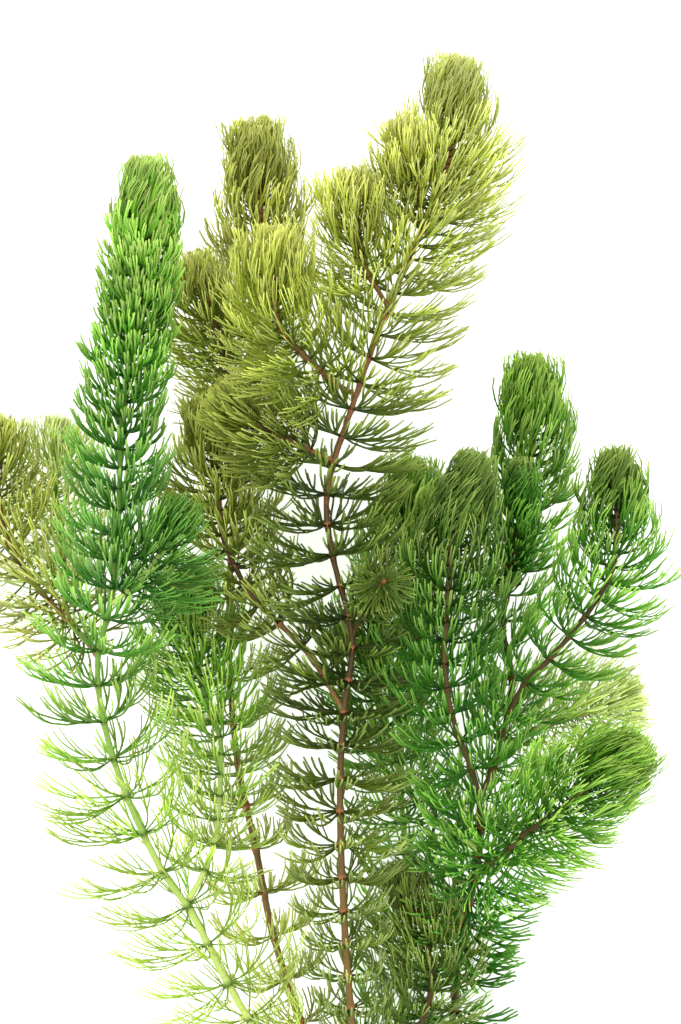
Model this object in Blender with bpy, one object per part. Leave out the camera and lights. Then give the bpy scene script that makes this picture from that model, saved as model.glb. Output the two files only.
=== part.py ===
"""Hornwort, a bushy water plant without roots, lying on its side as picked.

Metres, +Z up. The shoots run along +Y from the cut end to the growing tips, and the plant rests on
z = 0 on the tips of its lowest leaves. Each shoot is one solid: its stem, the whorls of forked
leaves that grow from it, up to the young ones that close over its tip. Side shoots grow from the nodes
of the shoot that carries them.
"""

import math
import random
from collections import namedtuple

import bmesh
import bpy
import numpy as np
from mathutils import Matrix, Vector

MM = 0.001
NAME = "hornwort"

STEM_RADIUS_AT_FOOT = 1.00 * MM
STEM_RADIUS_AT_TIP = 0.55 * MM
NODE_SWELLING = 1.2
NODE_HEIGHT = 1.1 * MM
LEAVES_IN_WHORL = 6
GAP = 0.3 * MM

ROUTE_STEP = 1.0 * MM
STEM_STEP = 20.0 * MM
WHORL_PITCH = 9.0 * MM
TOP_WHORL = 4.5 * MM
LOWEST_WHORL = 5.0 * MM
TWIST_PER_WHORL = math.radians(30)

TIP_INTERNODE = 1.2 * MM
INTERNODE_GROWTH = 55 * MM

LEAF_START_ANGLE = math.radians(4)
LEAF_END_ANGLE = math.radians(52)
YOUNG_START_RISE = math.radians(38)
YOUNG_LEAF_DISTANCE = 30 * MM
TOP_LEAF_SHORTENING = 0.42
TOP_LEAF_DISTANCE = 8 * MM
FORK_SHARE = 0.45
FORK_SPREAD = 0.15
YOUNG_FORK_SPREAD = 0.24
SHORTEST_LEAF = 3.5 * MM
CELL_MARGIN = 1.2 * MM
CELL_SAMPLES = 16

BRIGHT = (0.10, 0.36, 0.03)
OLIVE = (0.22, 0.30, 0.04)
DARK = (0.05, 0.20, 0.03)
PALE = (0.40, 0.50, 0.10)

# A shoot's route is in millimetres, from the fork that it grows from to its growing point, in the plane that
# the plant lies along (x, y) and up from the surface (z). Then come the shoot that carries it, the internode
# low on the stem, the leaf's length at the foot, middle and tip of the shoot, the angle that its youngest
# leaves bend over to, and its colour.
Shoot = namedtuple("Shoot", "name parent route internode leaves curl colour")

SHOOTS = (
    Shoot(
        "main_shoot", None,
        ((9, -42, 8), (6, -21, 22), (3, 0, 37), (1, 27, 48), (0, 56, 55), (1, 78, 58), (3, 97, 60),
         (-2, 118, 61), (-3, 134, 62), (4, 157, 62), (12, 179, 61), (18, 193, 60), (24, 205, 58),
         (27, 216, 57), (29, 236, 55)),
        9.5, (17, 26, 18), 95, OLIVE,
    ),
    Shoot(
        "left_shoot", "main_shoot",
        ((7, -29, 17), (-3, -20, 28), (-13, -10, 37), (-22, 0, 44), (-29, 12, 52), (-37, 28, 58),
         (-45, 40, 63), (-54, 60, 68), (-59, 78, 72), (-60, 92, 74), (-57, 105, 75), (-55, 125, 75),
         (-54, 150, 74), (-51, 172, 72), (-48, 197, 70), (-48, 211, 69)),
        9.5, (24, 22, 15), 95, BRIGHT,
    ),
    Shoot(
        "tall_back_shoot", "main_shoot",
        ((8, -37, 11), (-1, -20, 20), (-10, 0, 26), (-17, 22, 27), (-21, 42, 26), (-26, 66, 24), (-28, 94, 20),
         (-27, 126, 18), (-24, 156, 18), (-21, 181, 19), (-20, 203, 21), (-21, 221, 22)),
        9.6, (17, 18, 17), 100, OLIVE,
    ),
    Shoot(
        "right_shoot", "main_shoot",
        ((9, -40, 9), (16, -31, 11), (23, -20, 14), (27, -8, 16), (29, 4, 19), (30, 16, 25), (32, 27, 36),
         (34, 38, 48), (35, 48, 55), (34, 60, 60), (28, 77, 64), (26, 92, 67), (27, 108, 69), (28, 121, 69),
         (32, 136, 68)),
        5.8, (16, 19, 21), 115, DARK,
    ),
    Shoot(
        "low_shoot", "main_shoot",
        ((5, -14, 27), (13, -9, 30), (20, -1, 33), (23, 8, 35), (22, 18, 36), (19, 28, 37), (14, 36, 38)),
        8.0, (16, 17, 15), 95, DARK,
    ),
    Shoot(
        "middle_back_shoot", "main_shoot",
        ((7, -25, 19), (11, -14, 16), (15, 0, 14), (17, 16, 13), (17, 35, 13), (15, 66, 14), (16, 96, 15),
         (17, 121, 17), (18, 137, 19)),
        8.0, (17, 18, 16), 95, BRIGHT,
    ),
    Shoot(
        "left_low_branch", "left_shoot",
        ((-38, 31, 59), (-34, 38, 57), (-31, 47, 54), (-30, 59, 51), (-30, 71, 48), (-34, 83, 45),
         (-37, 94, 43), (-38, 110, 41)),
        6.2, (16, 18, 14), 95, BRIGHT,
    ),
    Shoot(
        "left_inner_branch", "left_shoot",
        ((-57, 105, 75), (-53, 108, 76), (-49, 112, 77), (-45, 117, 77), (-42, 122, 76), (-41, 129, 74)),
        5.5, (14, 15, 14), 95, BRIGHT,
    ),
    Shoot(
        "far_left_shoot", "left_shoot",
        ((-60, 92, 74), (-64, 97, 63), (-69, 102, 52), (-75, 108, 43), (-80, 115, 37), (-84, 122, 34),
         (-86, 133, 33), (-86, 149, 32)),
        8.0, (16, 18, 15), 95, OLIVE,
    ),
    Shoot(
        "far_left_bud", "far_left_shoot",
        ((-69, 102, 52), (-69, 109, 39), (-70, 121, 26), (-72, 135, 18), (-71, 148, 16)),
        7.0, (14, 15, 15), 90, PALE,
    ),
    Shoot(
        "back_side_branch", "tall_back_shoot",
        ((-25, 150, 18), (-27, 159, 25), (-29, 169, 32), (-32, 176, 36), (-35, 189, 39)),
        6.0, (14, 16, 15), 95, OLIVE,
    ),
    Shoot(
        "right_low_branch", "right_shoot",
        ((34, 38, 48), (37, 40, 55), (41, 43, 61), (46, 48, 66), (52, 52, 70), (58, 57, 74), (62, 60, 75),
         (71, 68, 77)),
        5.0, (15, 18, 18), 110, BRIGHT,
    ),
    Shoot(
        "right_tall_branch", "right_shoot",
        ((35, 57, 59), (39, 66, 52), (42, 78, 46), (43, 88, 41), (41, 101, 37), (45, 121, 36), (48, 142, 36),
         (48, 162, 37)),
        6.3, (14, 17, 18), 110, BRIGHT,
    ),
    Shoot(
        "right_small_bud", "right_tall_branch",
        ((42, 107, 37), (42, 112, 43), (44, 120, 49), (45, 130, 52), (45, 138, 53)),
        5.0, (9, 9, 8), 115, DARK,
    ),
    Shoot(
        "right_outer_branch", "right_tall_branch",
        ((40, 68, 51), (42, 77, 54), (46, 85, 56), (51, 90, 57), (58, 98, 58), (64, 106, 58), (68, 114, 58),
         (69, 124, 58), (69, 139, 58)),
        6.5, (14, 17, 16), 115, DARK,
    ),
    Shoot(
        "right_pale_branch", "right_tall_branch",
        ((38, 63, 54), (42, 69, 46), (48, 73, 38), (54, 75, 31), (61, 77, 25), (68, 79, 21), (74, 81, 19)),
        5.0, (14, 16, 14), 90, PALE,
    ),
    Shoot(
        "middle_side_branch", "right_shoot",
        ((35, 43, 52), (30, 47, 50), (24, 51, 46), (18, 57, 41), (12, 70, 37), (9, 85, 36), (9, 98, 36),
         (10, 110, 37)),
        8.0, (16, 17, 15), 95, BRIGHT,
    ),
    Shoot(
        "main_low_branch", "main_shoot",
        ((1, 78, 58), (-4, 87, 58), (-9, 94, 57), (-15, 100, 56), (-22, 107, 54), (-26, 114, 52),
         (-29, 121, 50), (-31, 134, 48), (-32, 144, 46), (-34, 153, 45)),
        9.0, (18, 19, 15), 95, OLIVE,
    ),
    Shoot(
        "main_right_branch", "main_shoot",
        ((3, 97, 60), (5, 101, 63), (8, 107, 68), (10, 110, 75), (11, 111, 82)),
        5.5, (11, 11, 11), 90, DARK,
    ),
    Shoot(
        "main_left_branch", "main_shoot",
        ((-2, 141, 62), (-9, 144, 64), (-16, 147, 65), (-22, 150, 64), (-28, 156, 62)),
        5.5, (18, 18, 15), 90, OLIVE,
    ),
    Shoot(
        "main_front_branch", "main_shoot",
        ((4, 157, 62), (-1, 160, 66), (-6, 164, 70), (-10, 168, 73), (-14, 172, 76), (-16, 178, 78),
         (-16, 192, 79)),
        5.0, (20, 22, 19), 95, PALE,
    ),
    Shoot(
        "main_high_branch", "main_shoot",
        ((12, 179, 61), (9, 184, 63), (6, 189, 65), (4, 197, 66), (3, 208, 67)),
        5.5, (14, 15, 15), 95, OLIVE,
    ),
    Shoot(
        "main_top_branch", "main_shoot",
        ((20, 198, 59), (20, 206, 63), (18, 213, 66), (16, 221, 67)),
        5.5, (12, 13, 13), 95, OLIVE,
    ),
)


def smooth_curve(points):
    """Points every ROUTE_STEP along a Catmull-Rom curve through these points."""
    ends = np.vstack([2 * points[0] - points[1], points, 2 * points[-1] - points[-2]])
    share = np.linspace(0, 1, 24, endpoint=False)[:, None]
    dense = []
    for before, start, end, after in zip(ends, ends[1:], ends[2:], ends[3:]):
        dense.append(
            0.5 * (
                2 * start
                + (end - before) * share
                + (2 * before - 5 * start + 4 * end - after) * share**2
                + (3 * start - before - 3 * end + after) * share**3
            )
        )
    dense = np.vstack(dense + [points[-1:]])
    along = np.concatenate([[0], np.cumsum(np.linalg.norm(np.diff(dense, axis=0), axis=1))])
    stations = np.linspace(0, along[-1], int(along[-1] / ROUTE_STEP) + 1)
    return np.column_stack([np.interp(stations, along, dense[:, axis]) for axis in range(3)])


def distance_to(curve, point):
    return np.linalg.norm(curve - point, axis=1).min()


def lay_out(shoots):
    """Each shoot's curve by name. A side shoot's starts where its stem clears the stem that carries it."""
    curves = {}
    clear = 2 * STEM_RADIUS_AT_FOOT * NODE_SWELLING + GAP
    for shoot in shoots:
        curve = smooth_curve(np.array(shoot.route) * MM)
        if shoot.parent:
            carrier = curves[shoot.parent]
            while distance_to(carrier, curve[0]) < clear:
                curve = curve[1:]
        curves[shoot.name] = curve
    return curves


class Axis:
    """A shoot's centre line, with a frame that runs along it without twisting."""

    def __init__(self, curve):
        self.curve = curve
        self.length = ROUTE_STEP * (len(curve) - 1)
        tangents = np.gradient(curve, axis=0)
        self.tangents = tangents / np.linalg.norm(tangents, axis=1)[:, None]
        side = np.cross(self.tangents[0], (0, 0, 1))
        self.sides = []
        for tangent in self.tangents:
            side = side - tangent * side.dot(tangent)
            side = side / np.linalg.norm(side)
            self.sides.append(side)
        self.sides = np.array(self.sides)

    def at(self, distance):
        """The centre, tangent and side at this distance from the shoot's foot."""
        place = np.clip(distance / ROUTE_STEP, 0, len(self.curve) - 1)
        rows = np.arange(len(self.curve))
        found = [
            np.array([np.interp(place, rows, values[:, axis]) for axis in range(3)])
            for values in (self.curve, self.tangents, self.sides)
        ]
        return found[0], found[1] / np.linalg.norm(found[1]), found[2] / np.linalg.norm(found[2])

    def outward(self, distance, angle):
        """The direction out of the stem at this angle round it."""
        _, tangent, side = self.at(distance)
        return math.cos(angle) * side + math.sin(angle) * np.cross(tangent, side)


def stem_radius(axis, distance):
    share = distance / axis.length
    return STEM_RADIUS_AT_FOOT + (STEM_RADIUS_AT_TIP - STEM_RADIUS_AT_FOOT) * share


def whorl_places(shoot, axis):
    """Distances of the whorls from the foot. Internodes shorten towards the tip, and whorls closer than
    WHORL_PITCH are taken as one."""
    places = []
    from_tip = TOP_WHORL
    last = TOP_WHORL - WHORL_PITCH
    while from_tip < axis.length - LOWEST_WHORL:
        if from_tip - last >= WHORL_PITCH:
            places.append(axis.length - from_tip)
            last = from_tip
        growth = 1 - math.exp(-from_tip / INTERNODE_GROWTH)
        from_tip += TIP_INTERNODE + (shoot.internode * MM - TIP_INTERNODE) * growth
    return places[::-1]


def leaf_habit(shoot, axis, distance):
    """A leaf's length, the angles up from square to the stem that it starts and ends at, and its fork's
    spread."""
    from_tip = axis.length - distance
    length = np.interp(distance / axis.length, (0, 0.55, 1), shoot.leaves) * MM
    length *= 1 - TOP_LEAF_SHORTENING * math.exp(-from_tip / TOP_LEAF_DISTANCE)
    youth = math.exp(-from_tip / YOUNG_LEAF_DISTANCE)
    start = LEAF_START_ANGLE + YOUNG_START_RISE * youth
    end = LEAF_END_ANGLE + (math.radians(shoot.curl) - LEAF_END_ANGLE) * youth
    spread = FORK_SPREAD + (YOUNG_FORK_SPREAD - FORK_SPREAD) * youth
    return length, start, end, spread


def leaf_arc(length, start, end, share):
    """How far out and up a leaf has come at this share of its length, bending evenly."""
    bend = (end - start) * share
    out = length * share * (math.sin(start + bend) - math.sin(start)) / bend
    up = length * share * (math.cos(start) - math.cos(start + bend)) / bend
    return out, up


def free_share(start, end, own, others):
    """How much of the way from start to end stays nearer to this shoot's stem than to any other."""
    shares = np.linspace(0, 1, CELL_SAMPLES + 1)[1:]
    for index, share in enumerate(shares):
        point = start + (end - start) * share
        if distance_to(others, point) - distance_to(own, point) < CELL_MARGIN:
            return shares[index - 1] if index else 0.0
    return 1.0


def above_surface(point):
    return np.array([point[0], point[1], max(point[2], 0.0)])


def ring(bm, axis, distance, radius, turn):
    centre, _, _ = axis.at(distance)
    corners = []
    for index in range(LEAVES_IN_WHORL):
        angle = turn + 2 * math.pi * index / LEAVES_IN_WHORL
        corners.append(bm.verts.new(centre + radius * axis.outward(distance, angle)))
    return corners


def leaf(bm, root, fork, tips):
    """A forked leaf: a wedge out of the stem's face, with a notch between its two tips. The root's corners
    are lower first, lower last, upper last and upper first, going round the stem."""
    low_a, low_b, high_b, high_a = root
    notch = bm.verts.new(fork)
    tip_a, tip_b = (bm.verts.new(tip) for tip in tips)
    faces = (
        (low_a, low_b, notch), (low_a, notch, tip_a), (low_b, tip_b, notch),
        (high_a, notch, high_b), (high_a, tip_a, notch), (high_b, notch, tip_b),
        (low_a, tip_a, high_a), (low_b, high_b, tip_b),
    )
    for face in faces:
        bm.faces.new(face)


def whorl(bm, shoot, axis, distance, turn, below, above, others, rng):
    """The leaves between two rings of a node. A leaf with no room is left out, and its face stays stem."""
    length, start, end, fork_spread = leaf_habit(shoot, axis, distance)
    centre, tangent, _ = axis.at(distance)
    radius = stem_radius(axis, distance)
    for index in range(LEAVES_IN_WHORL):
        after = (index + 1) % LEAVES_IN_WHORL
        root = (below[index], below[after], above[after], above[index])
        angle = turn + 2 * math.pi * (index + 0.5) / LEAVES_IN_WHORL
        outward = axis.outward(distance, angle)
        across = np.cross(tangent, outward)
        foot = centre + radius * outward
        leaf_length = length * rng.uniform(0.92, 1.06)
        out, up = leaf_arc(leaf_length, start, end, 1)
        fork_out, fork_up = leaf_arc(leaf_length, start, end, FORK_SHARE)
        fork = foot + fork_out * outward + fork_up * tangent
        tip = foot + out * outward + up * tangent
        lean = rng.uniform(0.35, 0.75) * rng.choice((-1, 1))
        spread = fork_spread * leaf_length * (across + lean * (tangent * out - outward * up) / leaf_length)
        tips = (tip - spread, tip + spread)
        share = min(free_share(foot, point, axis.curve, others) for point in tips + (fork,))
        if share * leaf_length < SHORTEST_LEAF:
            bm.faces.new(root)
            continue
        fork, tip_a, tip_b = (above_surface(foot + (point - foot) * share) for point in (fork,) + tips)
        leaf(bm, root, fork, (tip_a, tip_b))


def bridge(bm, below, above):
    for index in range(len(below)):
        after = (index + 1) % len(below)
        bm.faces.new((below[index], below[after], above[after], above[index]))


def shoot_mesh(shoot, axis, others, rng):
    """A shoot from its cut or forked foot to its growing point, ring by ring along its centre line."""
    bm = bmesh.new()
    turn = rng.uniform(0, math.pi)
    below = ring(bm, axis, 0, stem_radius(axis, 0), turn)
    bm.faces.new(reversed(below))
    at = 0.0
    for place in whorl_places(shoot, axis):
        plain = int((place - at) / STEM_STEP)
        for step in range(1, plain + 1):
            between = at + (place - at) * step / (plain + 1)
            above = ring(bm, axis, between, stem_radius(axis, between), turn)
            bridge(bm, below, above)
            below = above
        turn += TWIST_PER_WHORL * rng.uniform(0.8, 1.2)
        swollen = stem_radius(axis, place) * NODE_SWELLING
        low = ring(bm, axis, place - NODE_HEIGHT / 2, swollen, turn)
        high = ring(bm, axis, place + NODE_HEIGHT / 2, swollen, turn)
        bridge(bm, below, low)
        whorl(bm, shoot, axis, place, turn, low, high, others, rng)
        below = high
        at = place
    growing_point = bm.verts.new(axis.curve[-1])
    for index in range(LEAVES_IN_WHORL):
        bm.faces.new((below[index], below[(index + 1) % LEAVES_IN_WHORL], growing_point))
    mesh = bpy.data.meshes.new(shoot.name)
    bm.to_mesh(mesh)
    bm.free()
    return mesh


def leaf_material(name, colour):
    material = bpy.data.materials.new(name)
    material.use_nodes = True
    shader = material.node_tree.nodes["Principled BSDF"]
    shader.inputs["Base Color"].default_value = (*colour, 1)
    shader.inputs["Roughness"].default_value = 0.5
    shader.inputs["Metallic"].default_value = 0.0
    material.diffuse_color = (*colour, 1)
    return material


def clear_scene():
    for obj in list(bpy.data.objects):
        bpy.data.objects.remove(obj, do_unlink=True)


def centre_on_origin(objects):
    """Puts the middle of the plant's footprint at the origin, and its lowest leaf tips on z = 0."""
    corners = np.array([vertex.co for obj in objects for vertex in obj.data.vertices])
    low, high = corners.min(axis=0), corners.max(axis=0)
    shift = Vector((-(low[0] + high[0]) / 2, -(low[1] + high[1]) / 2, -low[2]))
    for obj in objects:
        obj.data.transform(Matrix.Translation(shift))


def main():
    clear_scene()
    collection = bpy.data.collections.new(NAME)
    bpy.context.scene.collection.children.link(collection)
    curves = lay_out(SHOOTS)
    objects = []
    for number, shoot in enumerate(SHOOTS):
        others = np.vstack([curve for name, curve in curves.items() if name != shoot.name])
        mesh = shoot_mesh(shoot, Axis(curves[shoot.name]), others, random.Random(number))
        mesh.materials.append(leaf_material(shoot.name, shoot.colour))
        obj = bpy.data.objects.new(shoot.name, mesh)
        collection.objects.link(obj)
        objects.append(obj)
    centre_on_origin(objects)


main()
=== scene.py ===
"""The look of the hornwort. Each plain CAD shoot is replaced by its jointed stem and its whorls of fine
forked leaves, grown from the same centre lines. The plant lies on a pale floor, under a camera that looks
straight down."""

import math
from collections import namedtuple

import bpy
import numpy as np
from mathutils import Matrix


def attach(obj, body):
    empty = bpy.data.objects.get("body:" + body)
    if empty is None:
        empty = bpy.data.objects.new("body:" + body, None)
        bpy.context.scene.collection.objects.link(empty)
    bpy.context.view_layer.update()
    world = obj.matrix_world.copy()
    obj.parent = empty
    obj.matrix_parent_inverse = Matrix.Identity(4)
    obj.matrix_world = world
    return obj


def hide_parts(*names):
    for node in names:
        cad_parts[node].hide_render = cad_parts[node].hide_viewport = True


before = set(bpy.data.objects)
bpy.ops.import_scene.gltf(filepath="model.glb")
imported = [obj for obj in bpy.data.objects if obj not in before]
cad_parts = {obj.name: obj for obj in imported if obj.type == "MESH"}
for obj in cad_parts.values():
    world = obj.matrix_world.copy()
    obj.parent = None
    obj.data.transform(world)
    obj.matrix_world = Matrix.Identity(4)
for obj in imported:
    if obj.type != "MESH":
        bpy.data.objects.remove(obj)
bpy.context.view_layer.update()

MM = 0.001

# Centre lines, and the main stem's cut end in the CAD, a ring of corners that is no wider than this
ROUTE_STEP = 1.0 * MM
CURVE_SAMPLES = 24
CAD_FOOT_WIDTH = 2.07 * MM
CAD_FOOT_CORNERS = 6

# Stems, which have the full radius at their foot only where the shoot is long, and swell at each node
STEM_RADIUS_AT_FOOT = 1.00 * MM
STEM_RADIUS_AT_TIP = 0.50 * MM
LONG_SHOOT = 200 * MM
STEM_SIDES = 8
STEM_RING_STEP = 2.0 * MM
NODE_SWELLING = 0.45
NODE_LENGTH = 0.9 * MM

# Whorls, which stand close together at the tip, and a little further apart at the foot than halfway up.
# Each is turned on from the last by WHORL_TURN times half the angle between two leaves.
TIP_INTERNODE = 1.0 * MM
FIRST_WHORL_FROM_TIP = 1.5 * MM
LOWEST_WHORL = 4.0 * MM
INTERNODE_POWER = 2
FOOT_STRETCH = 0.4
WHORL_TURN = (0.6, 1.4)

# Leaves in a head: the angle up of those in its middle in degrees, how fast they close towards it, how
# fast the head's form takes over from the shoot's, and how high they reach. HEAD_REACH varies, so the
# tips end in layers.
CENTRE_LEAF_ANGLE = 62
CLOSING_POWER = 2.5
HEAD_BLEND = 3
HEAD_REACH = (0.72, 1.06)

# How leaves differ, as shares of their length and thickness and in radians. Those in a head differ less.
# Leaves that point up from the surface or down to it are shorter by up to FLATTENING.
AZIMUTH_SCATTER = 0.09
LEAN_SCATTER = 0.06
LENGTH_SCATTER = (-0.16, 0.1)
START_SCATTER = 0.09
END_SCATTER = 0.12
WHORL_START_SCATTER = 0.05
WHORL_END_SCATTER = 0.07
RADIUS_SCATTER = (0.85, 1.15)
HEAD_CALM = 0.6
HEAD_THINNING = 0.2
FLATTENING = 0.28

# Leaves start this far from the stem's middle, stay this high over the surface, and keep mostly to their
# own shoot's space
LEAF_FOOT = 0.3 * MM
LOWEST_POINT = 0.35 * MM
SHORTEST_LEAF = 4.0 * MM
CELL_OVERLAP = 13.0 * MM
CELL_SAMPLES = 8

# Below a head, strands bend more towards their tips by HOOK. They sway to the side, and in a head lean
# round the stem and spread less. They wave a little along their length, and keep nearly their full width
# up to a blunt tip.
HOOK = 0.7
SWAY = 0.10
YOUNG_SWAY = 0.06
YOUNG_LEAN = 0.32
LEAN_AT_FOOT = 0.4
YOUNG_CLOSING = 0.5
WAVINESS = 0.09
YOUNG_WAVINESS = 0.23
WAVES = 1.1
SIDE_WAVES = 1.7
ANY_PHASE = (0, 6.28)
MAIN_SEGMENTS = 7
FORK_TILT_AT_TIP = 0.1
STRAND_TAPER = 0.2
STRAND_DEPTH = 0.85
BLUNT_TIP = 0.97

# The map that the colours are read from: leaves in columns on its left, stems on its right. A column is
# a part of the shoot, and leaves have one for each shade too. Nothing lies in the margins.
LEAF_MAP_WIDTH = 0.85
LEAF_BINS = 32
LEAF_SHADES = 4
LEAF_COLUMNS = LEAF_BINS * LEAF_SHADES
STEM_MAP_START = 0.87
STEM_BINS = 13
COLUMN_MARGIN = 0.1
MAP_MARGIN = 0.01

# The camera is far away, and sees the photo's 170 by 256 mm at VIEW_LEVEL over the floor
LENS = 400
SENSOR = 36
VIEW_LENGTH = 256 * MM
VIEW_MIDDLE = (0.125 * MM, 128 * MM)
VIEW_LEVEL = 50 * MM

# A leaf's form changes along its shoot: how far up the shoot it stands, from 0 at the foot to 1 at the
# tip, then its length in millimetres, the degrees up from square to the stem that it starts and ends at,
# and how thick it is for its shoot.
BOWLS = ((0, 17, -6, 84, 1.1), (0.5, 20, 0, 76, 1.1), (0.8, 20, 8, 84, 1), (1, 21, 20, 98, 1))
FEATHERS = ((0, 18, 0, 64, 1.1), (0.5, 21, 6, 66, 1.05), (1, 21, 20, 92, 1))
MAIN_FORM = (
    (0, 12, -8, 88, 1.1), (0.17, 14, -8, 88, 1.1), (0.30, 17, -10, 74, 1.2), (0.38, 22, -12, 44, 1.5),
    (0.50, 24, -8, 34, 1.6), (0.60, 25, -6, 38, 1.55), (0.68, 25, 0, 48, 1.45), (0.77, 25, 6, 60, 1.2),
    (0.88, 24, 16, 76, 1), (1, 20, 32, 92, 1),
)
LEFT_FORM = (
    (0, 24, -4, 76, 0.72), (0.35, 26, 0, 70, 0.76), (0.5, 24, 2, 70, 0.95), (0.65, 19, 6, 76, 1.1),
    (0.80, 16, 12, 86, 1.05), (0.9, 14, 18, 92, 1), (1, 14, 24, 98, 1),
)
RIGHT_FORM = (
    (0, 15, -20, 34, 1.4), (0.32, 19, -18, 40, 1.35), (0.50, 20, -6, 66, 1.15), (0.70, 22, 2, 80, 1.05),
    (0.85, 21, 6, 94, 1), (1, 21, 10, 108, 1),
)
THICK_FORM = ((0, 17, 0, 68, 1.1), (0.5, 21, 2, 80, 1.1), (0.8, 20, 8, 94, 1), (1, 20, 12, 108, 1))
BRUSH_FORM = ((0, 18, -4, 56, 1.1), (0.5, 20, 0, 60, 1.05), (0.8, 19, 6, 68, 1), (1, 20, 12, 96, 1))
TALL_FORM = ((0, 13, 4, 66, 1.1), (0.45, 16, 6, 76, 1.1), (0.8, 17, 14, 92, 1), (1, 18, 18, 104, 1))
FRONT_FORM = ((0, 20, 6, 50, 1.1), (0.5, 23, 8, 66, 1), (1, 21, 18, 84, 1))
BUD_FORM = ((0, 9, 30, 80, 1), (1, 9, 30, 90, 1))
STAR_FORM = ((0, 8, 5, 30, 1), (0.6, 9, 0, 25, 1), (1, 9, 4, 40, 1))

# A head is how far the closed leaves reach above the growing point and how deep below it they start, in
# millimetres, the degrees up from square to the stem that the lowest of them start and all of them end
# at, and how many millimetres along the stem the longest of them reach.
Head = namedtuple("Head", "height depth opening curl reach")

# A shoot's route is in millimetres from the fork that it grows from to its growing point, as in the CAD.
# Then come its internode far from the tip, the distance over which internodes reach that, the form of its
# leaves, its head, a sideways sweep of the leaves, how many leaves stand in a whorl and strands in a leaf,
# the millimetres from a strand's middle to its corners, its leaf and stem palettes and the record's slot.
Shoot = namedtuple(
    "Shoot", "name route internode growth form head sweep count strands radius palette stem slot"
)

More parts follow.
